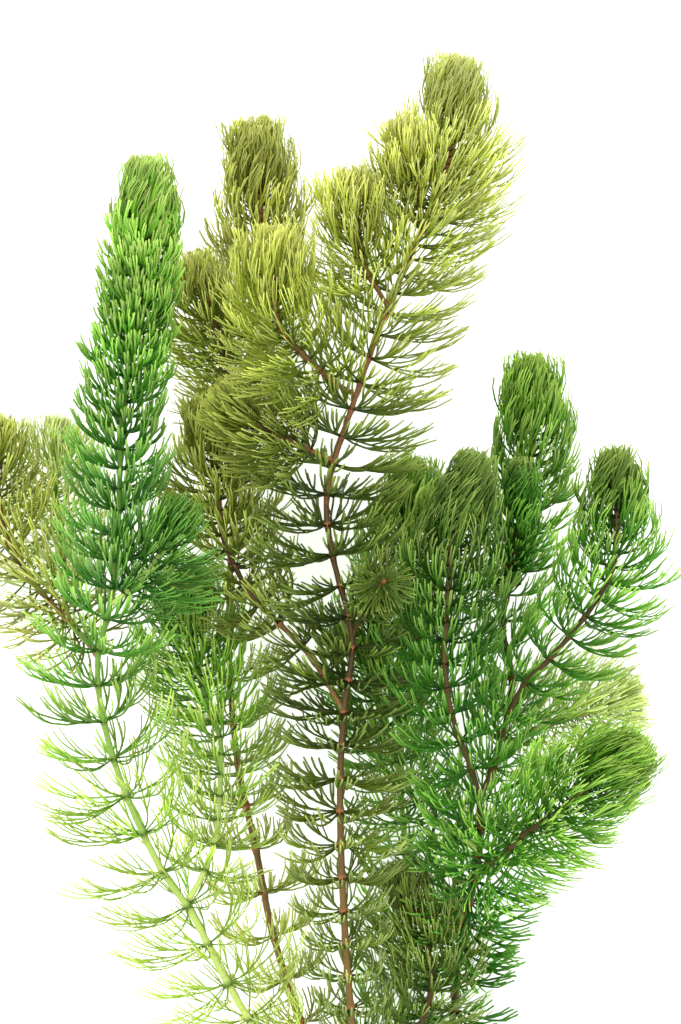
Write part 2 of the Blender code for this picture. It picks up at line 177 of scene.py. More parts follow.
SHOOTS = (
    Shoot(
        "main_shoot",
        ((9, -42, 8), (6, -21, 22), (3, 0, 37), (1, 27, 48), (0, 56, 55), (1, 78, 58), (3, 97, 60),
         (-2, 118, 61), (-3, 134, 62), (4, 157, 62), (12, 179, 61), (18, 193, 60), (24, 205, 58),
         (27, 216, 57), (29, 236, 55)),
        8.1, 52, MAIN_FORM, Head(6.5, 25, 20, 108, 17), (0.06, 0, 0), 12, 6, 0.27,
        "main", "brown", "olive_leaf",
    ),
    Shoot(
        "left_shoot",
        ((7, -29, 17), (-3, -20, 28), (-13, -10, 37), (-22, 0, 44), (-29, 12, 52), (-37, 28, 58),
         (-45, 40, 63), (-54, 60, 68), (-59, 78, 72), (-60, 92, 74), (-57, 105, 75),
         (-55, 125, 75), (-54, 150, 74), (-51, 172, 72), (-48, 197, 70), (-48, 211, 69)),
        11, 95, LEFT_FORM, Head(6, 22, 10, 124, 14.5), (-0.2, 0, 0), 11, 6, 0.35,
        "left", "green", "bright_leaf",
    ),
    Shoot(
        "tall_back_shoot",
        ((8, -37, 11), (-1, -20, 20), (-10, 0, 26), (-17, 22, 27), (-21, 42, 26), (-26, 66, 24),
         (-28, 94, 20), (-27, 126, 18), (-24, 156, 18), (-21, 181, 19), (-20, 203, 21),
         (-21, 221, 22)),
        10.5, 52, BOWLS, Head(7.5, 28, 10, 116, 17), (0, 0, 0), 11, 6, 0.28,
        "tall_back", "brown", "olive_leaf",
    ),
    Shoot(
        "right_shoot",
        ((9, -40, 9), (16, -31, 11), (23, -20, 14), (27, -8, 16), (29, 4, 19), (30, 16, 25),
         (32, 27, 36), (34, 38, 48), (35, 48, 55), (34, 60, 60), (28, 77, 64), (26, 92, 67),
         (27, 108, 69), (28, 121, 69), (32, 136, 68)),
        8.5, 38, RIGHT_FORM, Head(8, 30, -8, 132, 16), (0.05, 0, 0), 12, 6, 0.30,
        "right", "dark", "dark_leaf",
    ),
    Shoot(
        "low_shoot",
        ((5, -14, 27), (13, -9, 30), (20, -1, 33), (23, 8, 35), (22, 18, 36), (19, 28, 37),
         (14, 36, 38)),
        7, 45, FEATHERS, Head(5, 16, 20, 104, 13), (0, 0, 0), 10, 6, 0.20,
        "low", "dark", "dark_leaf",
    ),
    Shoot(
        "middle_back_shoot",
        ((7, -25, 19), (11, -14, 16), (15, 0, 14), (17, 16, 13), (17, 35, 13), (15, 66, 14),
         (16, 96, 15), (17, 121, 17), (18, 137, 19)),
        8, 45, FEATHERS, Head(6, 22, 16, 116, 15), (0, 0, 0), 9, 5, 0.32,
        "middle", "green", "bright_leaf",
    ),
    Shoot(
        "left_low_branch",
        ((-38, 31, 59), (-34, 38, 57), (-31, 47, 54), (-30, 59, 51), (-30, 71, 48), (-34, 83, 45),
         (-37, 94, 43), (-38, 110, 41)),
        6.6, 40, FEATHERS, Head(5, 18, 16, 108, 16), (0, 0, 0), 9, 5, 0.27,
        "left_low", "green", "bright_leaf",
    ),
    Shoot(
        "left_inner_branch",
        ((-57, 105, 75), (-53, 108, 76), (-49, 112, 77), (-45, 117, 77), (-42, 122, 76),
         (-41, 129, 74)),
        5.5, 40, FEATHERS, Head(4, 14, 20, 104, 12), (0, 0, 0), 8, 5, 0.25,
        "inner", "green", "bright_leaf",
    ),
    Shoot(
        "far_left_shoot",
        ((-60, 92, 74), (-64, 97, 63), (-69, 102, 52), (-75, 108, 43), (-80, 115, 37),
         (-84, 122, 34), (-86, 133, 33), (-86, 149, 32)),
        8, 45, BOWLS, Head(4, 18, 20, 98, 15), (0, 0, 0), 7, 4, 0.30,
        "far_left", "brown", "olive_leaf",
    ),
    Shoot(
        "far_left_bud",
        ((-69, 102, 52), (-69, 109, 39), (-70, 121, 26), (-72, 135, 18), (-71, 148, 16)),
        7, 45, FEATHERS, Head(5, 18, 20, 92, 16), (-0.4, 0, 0), 7, 4, 0.24,
        "pale", "green", "pale_leaf",
    ),
    Shoot(
        "back_side_branch",
        ((-25, 150, 18), (-27, 159, 25), (-29, 169, 32), (-32, 176, 36), (-35, 189, 39)),
        6, 45, FEATHERS, Head(5, 18, 16, 108, 16), (0, 0, 0), 9, 6, 0.25,
        "tall_back", "brown", "olive_leaf",
    ),
    Shoot(
        "right_low_branch",
        ((34, 38, 48), (37, 40, 55), (41, 43, 61), (46, 48, 66), (52, 52, 70), (58, 57, 74),
         (62, 60, 75), (71, 68, 77)),
        6, 35, BRUSH_FORM, Head(7, 24, -2, 112, 17), (0, 0, 0), 13, 6, 0.25,
        "right_low", "dark", "bright_leaf",
    ),
    Shoot(
        "right_tall_branch",
        ((35, 57, 59), (39, 66, 52), (42, 78, 46), (43, 88, 41), (41, 101, 37), (45, 121, 36),
         (48, 142, 36), (48, 162, 37)),
        8, 42, TALL_FORM, Head(6.5, 30, 4, 120, 16), (0.1, 0, 0), 11, 6, 0.31,
        "right_low", "dark", "bright_leaf",
    ),
    Shoot(
        "right_small_bud",
        ((42, 107, 37), (42, 112, 43), (44, 120, 49), (45, 130, 52), (45, 138, 53)),
        5, 40, BUD_FORM, Head(4, 20, 18, 132, 12), (0, 0, 0), 10, 4, 0.28,
        "right", "dark", "dark_leaf",
    ),
    Shoot(
        "right_outer_branch",
        ((40, 68, 51), (42, 77, 54), (46, 85, 56), (51, 90, 57), (58, 98, 58), (64, 106, 58),
         (68, 114, 58), (69, 124, 58), (69, 139, 58)),
        8.5, 34, THICK_FORM, Head(5.5, 28, -2, 130, 16.5), (0.12, 0, 0), 11, 6, 0.30,
        "outer", "dark", "dark_leaf",
    ),
    Shoot(
        "right_pale_branch",
        ((38, 63, 54), (42, 69, 46), (48, 73, 38), (54, 75, 31), (61, 77, 25), (68, 79, 21),
         (74, 81, 19)),
        6, 35, FEATHERS, Head(4, 14, 22, 88, 14), (0, 0.2, 0), 8, 4, 0.22,
        "pale", "brown", "pale_leaf",
    ),
    Shoot(
        "middle_side_branch",
        ((35, 43, 52), (30, 47, 50), (24, 51, 46), (18, 57, 41), (12, 70, 37), (9, 85, 36),
         (9, 98, 36), (10, 110, 37)),
        8, 45, FEATHERS, Head(5, 16, 22, 108, 14), (0, 0, 0), 9, 5, 0.31,
        "middle", "green", "bright_leaf",
    ),
    Shoot(
        "main_low_branch",
        ((1, 78, 58), (-4, 87, 58), (-9, 94, 57), (-15, 100, 56), (-22, 107, 54), (-26, 114, 52),
         (-29, 121, 50), (-31, 134, 48), (-32, 144, 46), (-34, 153, 45)),
        9, 45, BOWLS, Head(5, 20, 22, 104, 15), (-0.1, 0, 0), 10, 6, 0.28,
        "main_low", "brown", "olive_leaf",
    ),
    Shoot(
        "main_right_branch",
        ((3, 97, 60), (5, 101, 63), (8, 107, 68), (10, 110, 75), (11, 111, 82)),
        4, 3, STAR_FORM, Head(2, 3, 20, 60, 5), (0, 0, 0), 8, 3, 0.20,
        "low", "dark", "dark_leaf",
    ),
    Shoot(
        "main_left_branch",
        ((-2, 141, 62), (-9, 144, 64), (-16, 147, 65), (-22, 150, 64), (-28, 156, 62)),
        6.5, 40, FEATHERS, Head(5, 18, 18, 96, 15), (0, 0.15, 0), 9, 6, 0.25,
        "main_low", "brown", "olive_leaf",
    ),
    Shoot(
        "main_front_branch",
        ((4, 157, 62), (-1, 160, 66), (-6, 164, 70), (-10, 168, 73), (-14, 172, 76),
         (-16, 178, 78), (-16, 192, 79)),
        6.5, 35, FRONT_FORM, Head(7.5, 26, 12, 98, 18), (-0.1, 0, 0), 10, 6, 0.25,
        "front", "brown", "pale_leaf",
    ),
    Shoot(
        "main_high_branch",
        ((12, 179, 61), (9, 184, 63), (6, 189, 65), (4, 197, 66), (3, 208, 67)),
        6.5, 35, FEATHERS, Head(6.5, 22, 22, 102, 17), (0, 0, 0), 9, 6, 0.25,
        "high", "brown", "olive_leaf",
    ),
    Shoot(
        "main_top_branch",
        ((20, 198, 59), (20, 206, 63), (18, 213, 66), (16, 221, 67)),
        5.5, 35, FEATHERS, Head(6, 20, 22, 104, 16), (0, 0, 0), 9, 6, 0.25,
        "high", "brown", "olive_leaf",
    ),
)

# Each leaf palette is how far up the shoot a row stands, and the screen colours of a leaf's root, middle
# and tip there.
LEAF_PALETTES = {
    "main": (
        (0.15, (76, 104, 30), (154, 184, 68), (226, 242, 160)),
        (0.36, (74, 96, 26), (140, 160, 52), (208, 226, 130)),
        # The darker rows at 0.45 and 0.66 are painted shade: they darken the leaves in the crowded middle
        # of the main shoot, where its dense whorls shade each other.
        (0.45, (62, 76, 22), (92, 118, 34), (160, 188, 88)),
        (0.66, (58, 84, 22), (100, 128, 34), (178, 200, 88)),
        (0.76, (94, 124, 32), (182, 204, 70), (246, 252, 154)),
        (0.90, (120, 142, 42), (206, 218, 92), (246, 250, 168)),
    ),
    "left": (
        (0.15, (140, 178, 60), (208, 232, 98), (250, 255, 160)),
        (0.45, (108, 164, 48), (176, 216, 80), (242, 255, 146)),
        (0.56, (58, 134, 36), (120, 186, 62), (212, 244, 124)),
        (0.68, (42, 118, 36), (90, 168, 60), (184, 230, 122)),
        (0.85, (46, 126, 22), (106, 188, 44), (214, 248, 120)),
        (0.97, (66, 140, 20), (156, 220, 62), (246, 255, 160)),
    ),
    "tall_back": (
        (0.2, (136, 154, 52), (202, 214, 96), (246, 250, 170)),
        (0.5, (108, 130, 36), (182, 200, 74), (242, 250, 150)),
        (0.9, (116, 130, 38), (186, 196, 74), (244, 248, 148)),
    ),
    "inner": (
        (0.2, (52, 128, 40), (92, 164, 58), (160, 214, 94)),
        (0.9, (50, 124, 34), (96, 164, 52), (172, 220, 96)),
    ),
    "right": (
        (0.2, (33, 104, 22), (66, 148, 38), (132, 200, 76)),
        (0.55, (44, 120, 24), (96, 176, 46), (180, 232, 98)),
        (0.78, (26, 90, 14), (62, 138, 28), (150, 206, 84)),
        (0.9, (38, 82, 12), (88, 134, 36), (194, 220, 108)),
    ),
    "outer": (
        (0.2, (44, 118, 24), (94, 170, 46), (184, 232, 102)),
        (0.7, (44, 114, 20), (104, 182, 44), (214, 246, 120)),
        (0.92, (44, 84, 14), (96, 138, 38), (200, 222, 112)),
    ),
    "low": (
        (0.2, (86, 118, 34), (134, 170, 62), (202, 228, 120)),
        (0.9, (84, 108, 30), (130, 154, 56), (190, 212, 106)),
    ),
    "middle": (
        (0.2, (58, 130, 28), (116, 186, 54), (208, 240, 120)),
        (0.9, (66, 130, 26), (128, 186, 54), (214, 242, 118)),
    ),
    "left_low": (
        (0.2, (134, 175, 56), (194, 222, 92), (246, 254, 154)),
        (0.6, (90, 150, 36), (150, 204, 64), (228, 250, 130)),
        (0.95, (63, 132, 26), (118, 188, 52), (212, 246, 116)),
    ),
    "far_left": (
        (0.2, (118, 122, 42), (178, 186, 76), (238, 240, 144)),
        (0.9, (122, 136, 42), (186, 200, 78), (246, 250, 150)),
    ),
    "pale": (
        (0.2, (160, 196, 84), (214, 236, 132), (246, 255, 200)),
        (0.9, (166, 200, 84), (220, 238, 130), (250, 255, 200)),
    ),
    "right_low": (
        (0.2, (58, 136, 28), (124, 204, 58), (222, 252, 130)),
        (0.9, (50, 112, 18), (110, 174, 44), (214, 244, 116)),
    ),
    "main_low": (
        (0.2, (78, 98, 26), (136, 158, 50), (206, 222, 116)),
        (0.9, (98, 116, 30), (166, 182, 58), (236, 242, 130)),
    ),
    "front": (
        (0.2, (98, 126, 30), (170, 194, 60), (242, 250, 136)),
        (0.9, (120, 140, 34), (198, 210, 74), (250, 252, 152)),
    ),
    "high": (
        (0.2, (108, 132, 36), (190, 206, 74), (248, 252, 150)),
        (0.9, (130, 148, 42), (214, 222, 88), (252, 254, 168)),
    ),
}

# Each stem palette gives the stem between its nodes low on the shoot, halfway and near its tip, and its
# nodes.
StemPalette = namedtuple("StemPalette", "low middle high node")
STEM_PALETTES = {
    "brown": StemPalette((132, 102, 58), (70, 54, 26), (158, 108, 64), (172, 106, 68)),
    "dark": StemPalette((86, 72, 34), (68, 56, 28), (98, 84, 40), (124, 70, 38)),
    "green": StemPalette((190, 210, 112), (116, 156, 62), (74, 118, 36), (104, 128, 50)),
}


def colour(red, green, blue):
    """A colour in linear light from its screen values, 0 to 255."""
    screen = np.array([red, green, blue]) / 255
    return tuple(np.where(screen <= 0.04045, screen / 12.92, ((screen + 0.055) / 1.055) ** 2.4))


def smooth_curve(points):
    """Points every ROUTE_STEP along a Catmull-Rom curve through these points."""
    ends = np.vstack([2 * points[0] - points[1], points, 2 * points[-1] - points[-2]])
    share = np.linspace(0, 1, CURVE_SAMPLES, endpoint=False)[:, None]
    dense = []
    for before, start, end, after in zip(ends, ends[1:], ends[2:], ends[3:]):
        dense.append(
            0.5 * (
                2 * start
                + (end - before) * share
                + (2 * before - 5 * start + 4 * end - after) * share**2
                + (3 * start - before - 3 * end + after) * share**3
            )
        )
    dense = np.vstack(dense + [points[-1:]])
    along = np.concatenate([[0], np.cumsum(np.linalg.norm(np.diff(dense, axis=0), axis=1))])
    stations = np.linspace(0, along[-1], int(along[-1] / ROUTE_STEP) + 1)
    return np.column_stack([np.interp(stations, along, dense[:, axis]) for axis in range(3)])


def unit(vectors):
    return vectors / np.linalg.norm(vectors, axis=-1, keepdims=True)


class Axis:
    """A shoot's centre line, with a frame that runs along it without twisting."""

    def __init__(self, curve):
        self.curve = curve
        self.tangents = unit(np.gradient(curve, axis=0))
        self.steps = np.concatenate([[0], np.cumsum(np.linalg.norm(np.diff(curve, axis=0), axis=1))])
        self.length = self.steps[-1]
        side = np.cross(self.tangents[0], (0, 0, 1))
        sides = []
        for tangent in self.tangents:
            side = unit(side - tangent * side.dot(tangent))
            sides.append(side)
        self.sides = np.array(sides)

    def at(self, distances):
        """The centres, tangents and sides at these distances from the shoot's foot."""
        found = [
            np.stack([np.interp(distances, self.steps, values[:, axis]) for axis in range(3)], axis=-1)
            for values in (self.curve, self.tangents, self.sides)
        ]
        return found[0], unit(found[1]), unit(found[2])


def cad_shift():
    """How far the frame's origin is from the routes'. The main stem's cut end is a ring of corners round
    the start of its route, and no other corners of that solid lie so close together so low down."""
    corners = np.array([vertex.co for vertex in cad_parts["main_shoot"].data.vertices])
    corners = np.unique(np.round(corners, 6), axis=0)
    for corner in corners[np.argsort(corners[:, 1])]:
        near = corners[np.linalg.norm(corners - corner, axis=1) < CAD_FOOT_WIDTH]
        if len(near) == CAD_FOOT_CORNERS:
            return near.mean(axis=0) - np.array(SHOOTS[0].route[0]) * MM
    raise RuntimeError("the main stem's cut end wasn't found in the CAD")


def whorl_distances(shoot, axis):
    """Distances of the whorls from the shoot's foot. Internodes shorten towards the tip."""
    places = []
    from_tip = FIRST_WHORL_FROM_TIP
    while from_tip < axis.length - LOWEST_WHORL:
        places.append(axis.length - from_tip)
        growth = 1 - math.exp(-((from_tip / (shoot.growth * MM)) ** INTERNODE_POWER))
        growth *= 1 + FOOT_STRETCH * (from_tip / axis.length - 0.5)
        from_tip += TIP_INTERNODE + (shoot.internode * MM - TIP_INTERNODE) * growth
    return np.array(places[::-1])


def distance_to(points, curve):
    """How far each point is from the nearest point of a curve."""
    flat = points.reshape(-1, 3)
    squares = (flat**2).sum(axis=1)[:, None] + (curve**2).sum(axis=1)[None, :] - 2 * flat @ curve.T
    return np.sqrt(np.maximum(squares.min(axis=1), 0)).reshape(points.shape[:-1])


class Leaves:
    """Every leaf of one shoot: its place up the shoot, its foot, its own three directions, its length, the
    angles it bends through and how thick it is. Youth goes from 0 below the head to 1 in it."""

    def __init__(self, shoot, axis, others, rng):
        places = whorl_distances(shoot, axis)
        distances = np.repeat(places, shoot.count)
        self.strands = shoot.strands
        self.place = distances / axis.length
        self.stand_in_whorls(shoot, axis, places, rng)
        self.take_form(shoot, axis.length - distances, rng)
        self.scatter(shoot, len(places), rng)
        self.keep_to_cell(axis.curve, others)

    def stand_in_whorls(self, shoot, axis, places, rng):
        """Spaces the leaves round the stem, each with its directions up, outward and across."""
        turns = np.cumsum(rng.uniform(*WHORL_TURN, len(places)) * math.pi / shoot.count)
        azimuths = turns[:, None] + 2 * math.pi * np.arange(shoot.count) / shoot.count
        azimuths = (azimuths + rng.normal(0, AZIMUTH_SCATTER, azimuths.shape)).ravel()
        centres, tangents, sides = axis.at(np.repeat(places, shoot.count))
        self.up = unit(tangents + LEAN_SCATTER * rng.normal(size=tangents.shape))
        outward = np.cos(azimuths)[:, None] * sides + np.sin(azimuths)[:, None] * np.cross(tangents, sides)
        self.outward = unit(outward - self.up * (outward * self.up).sum(axis=1)[:, None])
        self.across = np.cross(self.up, self.outward)
        self.foot = centres + LEAF_FOOT * self.outward

    def take_form(self, shoot, from_tip, rng):
        """Gives leaves their shoot's form at their height, or in its head arcs that close over the tip."""
        stations, lengths, starts, ends, thicknesses = np.array(shoot.form).T
        length = np.interp(self.place, stations, lengths) * MM
        start = np.radians(np.interp(self.place, stations, starts))
        end = np.radians(np.interp(self.place, stations, ends))
        head = shoot.head
        closing = np.clip(1 - from_tip / (head.depth * MM), 0, 1)
        head_start = head.opening + (CENTRE_LEAF_ANGLE - head.opening) * closing**CLOSING_POWER
        head_start = np.radians(head_start)
        head_end = math.radians(head.curl)
        reach = np.minimum(from_tip + head.height * MM, head.reach * MM)
        reach = reach * rng.uniform(*HEAD_REACH, len(reach))
        head_length = reach * (head_end - head_start) / (np.cos(head_start) - math.cos(head_end))
        youth = np.clip(HEAD_BLEND * closing, 0, 1)
        youth = youth * youth * (3 - 2 * youth)
        self.youth = youth
        self.length = length + (head_length - length) * youth
        self.start = start + (head_start - start) * youth
        self.end = end + (head_end - end) * youth
        self.radius = shoot.radius * MM * np.interp(self.place, stations, thicknesses)
        self.radius = self.radius * (1 - HEAD_THINNING * youth)
        self.sweep = np.array(shoot.sweep) * (1 - youth)[:, None]
        self.spread = 1 - YOUNG_CLOSING * youth
        self.waviness = WAVINESS + (YOUNG_WAVINESS - WAVINESS) * youth
        self.hook = 1 + HOOK * (1 - youth)

    def scatter(self, shoot, whorls, rng):
        """Makes each whorl and each leaf a little different, and gives each leaf one of the shades."""
        number = len(self.length)
        whorl = np.repeat(rng.normal(0, 1, whorls), shoot.count)
        loose = 1 - HEAD_CALM * self.youth
        flattened = 1 - FLATTENING * np.abs(self.outward[:, 2]) ** 3 * (1 - self.youth)
        self.length = self.length * flattened * (1 + loose * rng.uniform(*LENGTH_SCATTER, number))
        self.start = self.start + WHORL_START_SCATTER * whorl + rng.normal(0, START_SCATTER, number) * loose
        self.end = self.end + WHORL_END_SCATTER * whorl + rng.normal(0, END_SCATTER, number) * loose
        self.radius = self.radius * rng.uniform(*RADIUS_SCATTER, number)
        self.shade = rng.integers(0, LEAF_SHADES, number)

    def keep_to_cell(self, own, others):
        """Shortens each leaf that would run far into another shoot's leaves, and drops it where it has no
        room."""
        level = np.zeros(len(self.length))
        angles = self.start, self.end
        path = grow(self, self.foot, self.length, angles, (level, level), CELL_SAMPLES, level)[:, 1:]
        blocked = distance_to(path, others) - distance_to(path, own) < -CELL_OVERLAP
        first = np.where(blocked.any(axis=1), blocked.argmax(axis=1), CELL_SAMPLES)
        self.length = self.length * first / CELL_SAMPLES
        kept = self.length >= SHORTEST_LEAF
        for name, values in list(vars(self).items()):
            if isinstance(values, np.ndarray):
                setattr(self, name, values[kept])


def grow(leaves, foot, length, angles, tilts, segments, phase):
    """Points along strands that bend from one angle up to another, and from one sideways tilt to another,
    waving a little."""
    share = (np.arange(segments) + 0.5) / segments
    turn = 2 * math.pi * WAVES * share + phase[:, None]
    wave = leaves.waviness[:, None]
    bend = share ** leaves.hook[:, None]
    rise = angles[0][:, None] + (angles[1] - angles[0])[:, None] * bend + wave * np.sin(turn)
    tilt = tilts[0][:, None] + (tilts[1] - tilts[0])[:, None] * share + wave * np.cos(SIDE_WAVES * turn)
    rise, tilt = rise[..., None], tilt[..., None]
    outward, up, across = (vectors[:, None, :] for vectors in (leaves.outward, leaves.up, leaves.across))
    direction = np.cos(tilt) * (np.cos(rise) * outward + np.sin(rise) * up) + np.sin(tilt) * across
    direction = unit(direction + leaves.sweep[:, None, :] * share[None, :, None])
    steps = direction * (length / segments)[:, None, None]
    points = np.concatenate([foot[:, None, :], foot[:, None, :] + np.cumsum(steps, axis=1)], axis=1)
    points[..., 2] = np.maximum(points[..., 2], LOWEST_POINT)
    return points


# A strand of every leaf: the points along it, its radius, where it starts on the colour map, from 0 at the
# leaf's foot to 1 at its tip, the length that its leaf has left for it, and its angles and tilts.
Strand = namedtuple("Strand", "points radius first room angles tilts")

# A fork is which strand carries it, how far along, its share of the length left there, its side of the
# leaf, how far it turns to that side, and up at its foot and at its tip, in radians, how thick it is for
# the strand that carries it, and its segments. Where there are two numbers, each leaf gets one between.
Fork = namedtuple("Fork", "carrier share length side tilt rise lift thinning segments")

FORKS = (
    Fork(0, (0.12, 0.26), (0.84, 1.04), 1, (0.24, 0.44), (-0.08, 0.24), (-0.06, 0.18), 0.95, 5),
    Fork(0, (0.36, 0.56), (0.8, 1.05), -1, (0.2, 0.42), (0.0, 0.3), (-0.05, 0.22), 0.9, 4),
    Fork(1, (0.28, 0.52), (0.8, 1.05), 1, (0.18, 0.38), (-0.05, 0.28), (-0.08, 0.2), 0.9, 4),
    Fork(0, (0.24, 0.42), (0.45, 0.85), -1, (0.05, 0.2), (0.25, 0.6), (0.1, 0.36), 0.86, 4),
    Fork(1, (0.45, 0.65), (0.8, 1.1), -1, (0.14, 0.32), (0.1, 0.4), (0.0, 0.26), 0.86, 4),
)


def place_on(points, share):
    """The point at this share of the way along each strand."""
    segments = points.shape[1] - 1
    position = np.clip(np.broadcast_to(share, len(points)) * segments, 0, segments - 1e-6)
    index = position.astype(int)
    rows = np.arange(len(points))
    part = (position - index)[:, None]
    return points[rows, index] * (1 - part) + points[rows, index + 1] * part


def strands_of(leaves, rng):
    """The strands of every leaf: the main one, and as many forks as the shoot's leaves have."""

    def between(low, high):
        return rng.uniform(low, high, len(leaves.length))

    hand = rng.choice((-1, 1), len(leaves.length))
    sway = rng.normal(0, 1, len(leaves.length)) * (SWAY + YOUNG_SWAY * leaves.youth)
    lean = YOUNG_LEAN * leaves.youth
    angles, tilts = (leaves.start, leaves.end), (sway + LEAN_AT_FOOT * lean, lean - sway)
    points = grow(leaves, leaves.foot, leaves.length, angles, tilts, MAIN_SEGMENTS, between(*ANY_PHASE))
    strands = [Strand(points, leaves.radius, 0.0, leaves.length, angles, tilts)]
    for fork in FORKS[: leaves.strands - 1]:
        carrier = strands[fork.carrier]
        share = between(*fork.share)
        room = carrier.room * (1 - share)
        length = room * between(*fork.length)
        aside = fork.side * hand * between(*fork.tilt) * leaves.spread
        rise = between(*fork.rise) * leaves.spread
        lift = between(*fork.lift) * leaves.spread
        start, end = carrier.angles
        angles = start + (end - start) * share**leaves.hook + rise, end + lift
        tilt = carrier.tilts[0] + (carrier.tilts[1] - carrier.tilts[0]) * share
        tilts = tilt + aside, tilt + FORK_TILT_AT_TIP * aside
        foot = place_on(carrier.points, share)
        points = grow(leaves, foot, length, angles, tilts, fork.segments, between(*ANY_PHASE))
        first = carrier.first + (1 - carrier.first) * share
        strands.append(Strand(points, carrier.radius * fork.thinning, first, room, angles, tilts))
    return strands


def inside(margin, share):
    """A share of the way across, kept out of a margin on both sides."""
    return margin + (1 - 2 * margin) * share


class Faces:
    """Triangles gathered for one mesh, with their places on the map and their material."""

    def __init__(self):
        self.vertices = []
        self.triangles = []
        self.maps = []
        self.materials = []
        self.count = 0

    def add(self, vertices, triangles, maps, material):
        self.triangles.append(triangles + self.count)
        self.vertices.append(vertices)
        self.maps.append(maps)
        self.materials.append(np.full(len(triangles), material, np.int32))
        self.count += len(vertices)

    def mesh(self, name):
        vertices, triangles = np.vstack(self.vertices), np.vstack(self.triangles)
        mesh = bpy.data.meshes.new(name)
        mesh.vertices.add(len(vertices))
        mesh.vertices.foreach_set("co", vertices.ravel())
        mesh.loops.add(triangles.size)
        mesh.loops.foreach_set("vertex_index", triangles.ravel())
        mesh.polygons.add(len(triangles))
        mesh.polygons.foreach_set("loop_start", np.arange(0, triangles.size, 3))
        mesh.polygons.foreach_set("material_index", np.concatenate(self.materials))
        mesh.update(calc_edges=True)
        mesh.uv_layers.new(name="OFBake").data.foreach_set("uv", np.vstack(self.maps).ravel())
        mesh.shade_smooth()
        return mesh


def strand_pattern(rings):
    """Triangles of a three-sided strand of this many rings and a tip, with each corner's side and ring."""
    triangles, corners = [], []
    for ring in range(rings - 1):
        for side in range(3):
            after = (side + 1) % 3
            a, b = 3 * ring + side, 3 * ring + after
            c, d = a + 3, b + 3
            triangles += [(a, b, d), (a, d, c)]
            corners += [((side, ring), (side + 1, ring), (side + 1, ring + 1)),
                        ((side, ring), (side + 1, ring + 1), (side, ring + 1))]
    tip = 3 * rings
    for side in range(3):
        a, b = 3 * (rings - 1) + side, 3 * (rings - 1) + (side + 1) % 3
        triangles.append((a, b, tip))
        corners.append(((side, rings - 1), (side + 1, rings - 1), (side + 0.5, rings)))
    triangles.append((2, 1, 0))
    corners.append(((0, 0.2), (3, 0.2), (1.5, 0)))
    return np.array(triangles), np.array(corners, float)


def add_strand(faces, leaves, strand):
    """Closed tubes along a strand of every leaf, a little thinner towards their blunt tips."""
    points = strand.points
    number, rings = len(points), points.shape[1] - 1
    share = np.arange(rings) / (rings - 1)
    middles = np.stack([place_on(points, BLUNT_TIP * part) for part in share], axis=1)
    points = np.concatenate([middles, points[:, -1:]], axis=1)
    tangents = unit(np.gradient(points, axis=1))[:, :rings]
    across = leaves.across[:, None, :]
    flat = unit(across - tangents * (across * tangents).sum(axis=2)[..., None])
    thick = np.cross(tangents, flat)
    radius = strand.radius[:, None] * (1 - STRAND_TAPER * share**2)
    corners = []
    for side in range(3):
        angle = math.radians(90 + 120 * side)
        offset = math.cos(angle) * flat + STRAND_DEPTH * math.sin(angle) * thick
        corners.append(points[:, :rings] + radius[..., None] * offset)
    ringed = np.stack(corners, axis=2).reshape(number, rings * 3, 3)
    vertices = np.concatenate([ringed, points[:, -1:]], axis=1)
    triangles, places = strand_pattern(rings)
    triangles = triangles[None] + (np.arange(number) * vertices.shape[1])[:, None, None]
    columns = np.minimum((leaves.place * LEAF_BINS).astype(int), LEAF_BINS - 1) * LEAF_SHADES + leaves.shade
    map_x = (columns[:, None, None] + inside(COLUMN_MARGIN, places[None, ..., 0] / 3)) / LEAF_COLUMNS
    first = np.broadcast_to(strand.first, number)[:, None, None]
    map_y = first + (1 - first) * places[None, ..., 1] / rings
    maps = np.stack([map_x * LEAF_MAP_WIDTH, inside(MAP_MARGIN, map_y)], axis=-1)
    faces.add(vertices.reshape(-1, 3), triangles.reshape(-1, 3), maps.reshape(-1, 2), 0)


